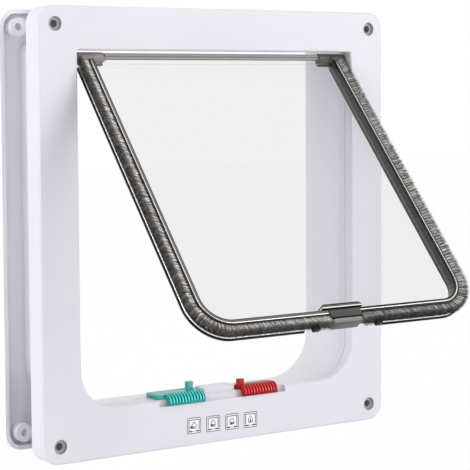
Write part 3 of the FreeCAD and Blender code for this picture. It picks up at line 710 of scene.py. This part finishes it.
def printed(corners, name, line=0.0, corner=0.0, height=PRINT_HEIGHT):
    """A thin print: the outline's line, or the whole shape when no line width is given."""
    piece = flat_outline(corners, name)
    make_active(piece)
    bpy.ops.object.mode_set(mode="EDIT")
    bpy.ops.mesh.select_all(action="SELECT")
    if corner:
        bpy.ops.mesh.bevel(offset=corner * MM, segments=3, affect="VERTICES")
        bpy.ops.mesh.select_all(action="SELECT")
    if line:
        bpy.ops.mesh.inset(thickness=line * MM)
        bpy.ops.mesh.delete(type="FACE")
        bpy.ops.mesh.select_all(action="SELECT")
    bpy.ops.mesh.extrude_region_move(TRANSFORM_OT_translate={"value": (0, -height, 0)})
    bpy.ops.mesh.select_all(action="SELECT")
    bpy.ops.mesh.normals_make_consistent(inside=False)
    bpy.ops.object.mode_set(mode="OBJECT")
    return piece


def square(left, right, bottom, top):
    return [(left, bottom), (right, bottom), (right, top), (left, top)]


def arrow(tip, reach):
    """An arrow to the left, through the wall of the house or inside it."""
    back = tip + ARROW_HEAD
    head = [(tip, ARROW_MIDDLE), (back, ARROW_MIDDLE - ARROW_HALF),
            (back, ARROW_MIDDLE + ARROW_HALF)]
    shaft = square(tip + SHAFT_START, tip + reach,
                   ARROW_MIDDLE - SHAFT_HALF, ARROW_MIDDLE + SHAFT_HALF)
    return [printed(head, "arrow_head"), printed(shaft, "arrow_shaft")]


def sign(number):
    """Printed sign for one way of locking: a door frame, a house and an arrow or a figure."""
    ground = [printed(square(*GROUND), "ground", 0, GROUND_CORNER, PRINT_HEIGHT / 2)]
    grey = [printed(square(*RING), "ring", RING_LINE, RING_CORNER)]
    grey += [printed(square(*strip), word) for word, strip in DOOR_FRAME]
    black = [printed(square(*dash), "dash") for dash in DASHES]
    black.append(printed(HOUSE, "house", HOUSE_LINE))
    if number < len(ARROWS):
        black += arrow(*ARROWS[number])
    else:
        black.append(printed(square(*FIGURE), "figure", 0, FIGURE_CORNER))
    across = SIGN_PITCH * (number - (SIGN_COUNT - 1) / 2)
    middle = SIGN_MIDDLE + SIGN_SLOPE * across
    place = Matrix.Translation(((across + SIGN_SHIFT) * MM, FACE_Y, middle * MM))
    for parts, name, look in ((ground, "sign_ground_", "white_ink"),
                              (grey, "sign_outline_", "grey_ink"),
                              (black, "sign_mark_", "black_ink")):
        piece = joined(parts)
        settle(piece, place)
        keep(piece, name + str(number + 1), "frame", "print_ink", (look,))


def highlight_bead(name, side, half, drop, depth, radius, start):
    """A thin rounded bead along one flange of the rim: down the leg and in along the bottom.

    It is a painted highlight along the flange's edge.
    """
    corner = RIM_CORNER + half - RIM_HALF
    reach = corner * QUARTER_HANDLE
    data = bpy.data.curves.new(name, "CURVE")
    data.dimensions = "3D"
    data.bevel_depth = radius
    data.bevel_resolution = 2
    data.use_fill_caps = True
    spline = data.splines.new("BEZIER")
    spline.bezier_points.add(3)
    places = [
        (half, -RIM_TOP, (0, 0), (0, 0)),
        (half, -(drop - corner), (0, 0), (0, -reach)),
        (half - corner, -drop, (reach, 0), (0, 0)),
        (start, -drop, (0, 0), (0, 0)),
    ]
    for point, (across, up, before, after) in zip(spline.bezier_points, places):
        middle = Vector((across * side, depth, up))
        point.co = middle
        point.handle_left_type = "FREE"
        point.handle_right_type = "FREE"
        point.handle_left = middle + Vector((before[0] * side, 0, before[1]))
        point.handle_right = middle + Vector((after[0] * side, 0, after[1]))
    spline.resolution_u = BEAD_STEPS
    piece = bpy.data.objects.new(name, data)
    bpy.context.scene.collection.objects.link(piece)
    make_active(piece)
    bpy.ops.object.convert(target="MESH")
    piece = bpy.context.object
    bpy.ops.object.mode_set(mode="EDIT")
    bpy.ops.mesh.select_all(action="SELECT")
    bpy.ops.mesh.remove_doubles(threshold=BEAD_MERGE)
    bpy.ops.mesh.normals_make_consistent(inside=False)
    bpy.ops.object.mode_set(mode="OBJECT")
    bpy.ops.object.shade_smooth()
    settle(piece, HANG)
    keep(piece, name, "flap", "smoked_plastic", ("edge",))


def rim_highlight_beads():
    for side, word, inset in ((1, "right", RIGHT_FRONT_INSET), (-1, "left", LEFT_FRONT_INSET)):
        reach = FRONT_FLANGE - inset
        highlight_bead(word + "_front_highlight_bead", side, RIM_HALF + reach, RIM_DROP + reach,
                  RIM_FRONT + FRONT_BEAD_DEPTH, FRONT_BEAD, RIM_START)
        reach = BACK_FLANGE - BACK_INSET
        highlight_bead(word + "_back_highlight_bead", side, RIM_HALF + reach, RIM_DROP + reach,
                  RIM_BACK - BACK_BEAD_DEPTH, BACK_BEAD, NOTCH_END)


def measured(piece, name, measure):
    """Stores a measure in millimetres at each point of a piece of the flap, hanging straight."""
    straight = HANG.inverted()
    values = []
    for vertex in piece.data.vertices:
        place = straight @ vertex.co
        values.append(measure(abs(place.x), place.y, -place.z) / MM)
    piece.data.attributes.new(name, "FLOAT", "POINT").data.foreach_set("value", values)


def reach_past_wall(across, depth, drop):
    """How far outside its wall a point of the rim lies, or how far back on the wall itself.

    A place on the wall is told apart by its sign: it counts down from -1 mm, front to back.
    """
    if drop <= RIM_DROP - RIM_CORNER:
        reach = across - RIM_HALF
    elif across <= RIM_HALF - RIM_CORNER:
        reach = drop - RIM_DROP
    else:
        reach = math.hypot(across - RIM_HALF + RIM_CORNER,
                           drop - RIM_DROP + RIM_CORNER) - RIM_CORNER
    return reach if reach > WALL_SKIN else RIM_FRONT - depth - WALL_START


def rise_over_slab(across, depth, drop):
    """How far a point of the magnet's holder lies over its front slab."""
    return RIM_DROP - HOLDER_RISE - drop


def grip_group(start):
    """Sorts the faces of a lock's grip: 0 plain, 1 crest of a rib, 2 slot between two ribs."""
    # Crests take a painted highlight, slots a painted shade.
    def group(face):
        across, depth, height = (value / MM for value in face.center)
        away = math.hypot(depth - GRIP_AXIS_Y, height - GRIP_AXIS_Z) - GRIP_RADIUS
        rib = across - start
        outside = depth < GRIP_AXIS_Y and height > GRIP_AXIS_Z
        ribbed = 0 < rib < RIB_PITCH * RIB_COUNT and abs(face.normal.x) <= SIDEWAYS
        if not (outside and ribbed) or away < SLOT_FLOOR:
            return 0
        if away > CREST_RISE:
            return 1
        return 2 if rib % RIB_PITCH > RIB_WIDTH else 0
    return group


def softened(node, body, width, looks, group=None, edge_look=-1):
    """The same moulding with its sharp edges rounded over.

    The rounded edges take the finish with the number edge_look, or with -1 that of their faces.
    """
    piece = bpy.data.objects.new(node + "_softened", nodes[node].data.copy())
    bpy.context.scene.collection.objects.link(piece)
    make_active(piece)
    bpy.ops.object.mode_set(mode="EDIT")
    bpy.ops.mesh.select_all(action="SELECT")
    bpy.ops.mesh.remove_doubles(threshold=MOULDING_MERGE)
    bpy.ops.mesh.dissolve_limited(angle_limit=FLAT_ANGLE)
    bpy.ops.object.mode_set(mode="OBJECT")
    dress(piece, looks)
    if group:
        for face in piece.data.polygons:
            face.material_index = group(face)
    bevel = piece.modifiers.new("edges", "BEVEL")
    bevel.width = width
    bevel.segments = 2
    bevel.limit_method = "ANGLE"
    bevel.angle_limit = SHARP_ANGLE
    bevel.use_clamp_overlap = True
    bevel.material = edge_look
    bpy.ops.object.modifier_apply(modifier=bevel.name)
    bpy.ops.object.shade_smooth_by_angle(angle=SMOOTH_ANGLE)
    keep(piece, node + "_softened", body, NODE_SLOTS[node], looks, node)
    return piece


def soften_mouldings():
    """Rounds the edges of the flap's smoked mouldings and of the two locks."""
    for word in ("left", "right"):
        rim = softened(word + "_rim", "flap", RIM_EDGE, (word + "_rim",))
        measured(rim, "reach", reach_past_wall)
    # The corner pieces take the smoke painted lighter as painted light, the left one more than the
    # right; their rounded edges take near-black painted shade lines.
    for word, look in (("left", "smoked_painted_lit"), ("right", "smoked_painted_half_lit")):
        softened(word + "_corner_piece", "flap", CORNER_EDGE, (look, "smoked_edge_painted_shade"), edge_look=1)
    # The holder's rounded edges take near-black painted shade lines.
    holder = softened("magnet_holder", "flap", HOLDER_EDGE, ("holder", "smoked_edge_painted_shade"),
                      edge_look=1)
    measured(holder, "rise", rise_over_slab)
    cap = softened("magnet_holder_cap", "flap", CAP_EDGE, ("holder",))
    measured(cap, "rise", rise_over_slab)
    # Each lock's crests take a painted highlight and its slots a painted shade.
    for colour, start in (("green", GREEN_RIBS), ("red", RED_RIBS)):
        looks = (colour, colour + "_crest_painted_highlight", colour + "_slot")
        softened(colour + "_lock", colour, LOCK_EDGE, looks, grip_group(start))


def make_tuft(name):
    """A bunch of tapered fibres, 1 high, standing on the plane Z = 0."""
    fibres = []
    for number in range(FIBRES):
        deselect()
        bpy.ops.mesh.primitive_cone_add(vertices=3, radius1=FIBRE_RADIUS, radius2=0, depth=1,
                                        end_fill_type="NGON", location=(0, 0, 0.5))
        fibre = bpy.context.object
        across = random.uniform(-0.5, 0.5) * TUFT_WIDTH
        inward = random.uniform(-0.5, 0.5) * TUFT_DEPTH
        lean_across = random.gauss(0, LEAN_ACROSS) * LEAN_LENGTH
        lean_inward = random.gauss(0, LEAN_INWARD) * LEAN_LENGTH
        turn = random.uniform(0, FIBRE_TURN)
        for vertex in fibre.data.vertices:
            x, y, height = vertex.co.x, vertex.co.y, vertex.co.z + 0.5
            vertex.co.x = x * math.cos(turn) - y * math.sin(turn) + across
            vertex.co.y = x * math.sin(turn) + y * math.cos(turn) + inward
            vertex.co.z = 0
            if height > 0.5:
                vertex.co.x += lean_across
                vertex.co.y += lean_inward
                vertex.co.z = height * random.uniform(FIBRE_SHORTEST, 1)
        fibre.location = (0, 0, 0)
        fibres.append(fibre)
    tuft = joined(fibres)
    tuft.name = name
    heights = [vertex.co.z for vertex in tuft.data.vertices]
    tuft.data.attributes.new("height", "FLOAT", "POINT").data.foreach_set("value", heights)
    tuft.data.attributes.new("tuft_tone_and_painted_light", "FLOAT", "POINT")
    return tuft


def seal_route(start):
    """Places along the root of the pile, down the leg, round the corner and in along the foot.

    Each is given by how far across and how far down it lies, and by the angle through which the
    pile has turned there, from sideways on the leg to downwards on the foot.
    """
    base_half = RIM_HALF + PILE_BASE
    base_drop = RIM_DROP + PILE_BASE
    corner = RIM_CORNER + PILE_BASE
    leg = base_drop - corner - RIM_TOP
    bend = corner * math.pi / 2
    foot = base_half - corner - start
    total = leg + bend + foot
    count = round(total / TUFT_PITCH)
    for number in range(count + 1):
        run = total * number / count
        if run < leg:
            yield base_half, RIM_TOP + run, 0.0
        elif run < leg + bend:
            angle = (run - leg) / corner
            yield (base_half - corner + corner * math.cos(angle),
                   base_drop - corner + corner * math.sin(angle), angle)
        else:
            yield base_half - corner - (run - leg - bend), base_drop, math.pi / 2


def pile_length(across, angle):
    """Longest in the back flange's notch, and longer down the legs than along the foot."""
    if across < STOP_START:
        return PILE_TIP - PILE_BASE + NOTCH_EXTRA
    return PILE_TIP - PILE_BASE + LEG_EXTRA * math.cos(angle)


def seal_pile(side, word, start, side_painted_light):
    """The pile of the weather seal, tuft by tuft, along one half of the rim."""
    tufts = [make_tuft("tuft_" + str(number)) for number in range(TUFT_KINDS)]
    points = len(tufts[0].data.vertices)
    pieces = []
    for number, (across, drop, angle) in enumerate(seal_route(start)):
        outward = Vector((math.cos(angle) * side, 0, -math.sin(angle)))
        along = Vector((math.sin(angle) * side, 0, math.cos(angle)))
        length = pile_length(across, angle)
        sway = random.gauss(0, SWAY)
        # Painted light: a wave of lighter clumps and shaded gaps, on the side's painted mean grey
        painted_stripe = PAINTED_STRIPE_DEPTH * math.sin(number * PAINTED_STRIPE_TURN)
        tuft_tone_and_painted_light = side_painted_light + painted_stripe + random.gauss(0, STRIPE_NOISE)
        for depth, share, leg_lean, foot_lean in PILE_ROWS:
            tilt = sway + random.gauss(0, TILT)
            flare = leg_lean + (foot_lean - leg_lean) * math.sin(angle)
            up = (outward + along * tilt + Vector((0, flare, 0))).normalized()
            width = Vector((0, 1, 0)).cross(up).normalized()
            inward = up.cross(width)
            tuft = random.choice(tufts)
            piece = tuft.copy()
            piece.data = tuft.data.copy()
            shade = min(1, max(0, tuft_tone_and_painted_light + random.gauss(0, TUFT_NOISE)))
            piece.data.attributes["tuft_tone_and_painted_light"].data.foreach_set("value", [shade] * points)
            tall = length * share * random.uniform(TUFT_SHORTEST, 1) / up.dot(outward)
            turn = Matrix((width, inward, up * tall)).transposed().to_4x4()
            piece.matrix_world = Matrix.Translation((across * side, depth * MM, -drop)) @ turn
            bpy.context.scene.collection.objects.link(piece)
            pieces.append(piece)
    for tuft in tufts:
        bpy.data.objects.remove(tuft)
    pile = joined(pieces)
    settle(pile)
    settle(pile, HANG)
    keep(pile, word + "_seal_pile", "flap", "seal_pile", ("pile",), word + "_brush_pile")


make_camera()
make_world()
make_lights()
make_floor()
dress_nodes()
for number in range(SIGN_COUNT):
    sign(number)
rim_highlight_beads()
soften_mouldings()
for seal in SEALS:
    seal_pile(*seal)

bpy.context.scene.view_settings.view_transform = "Standard"
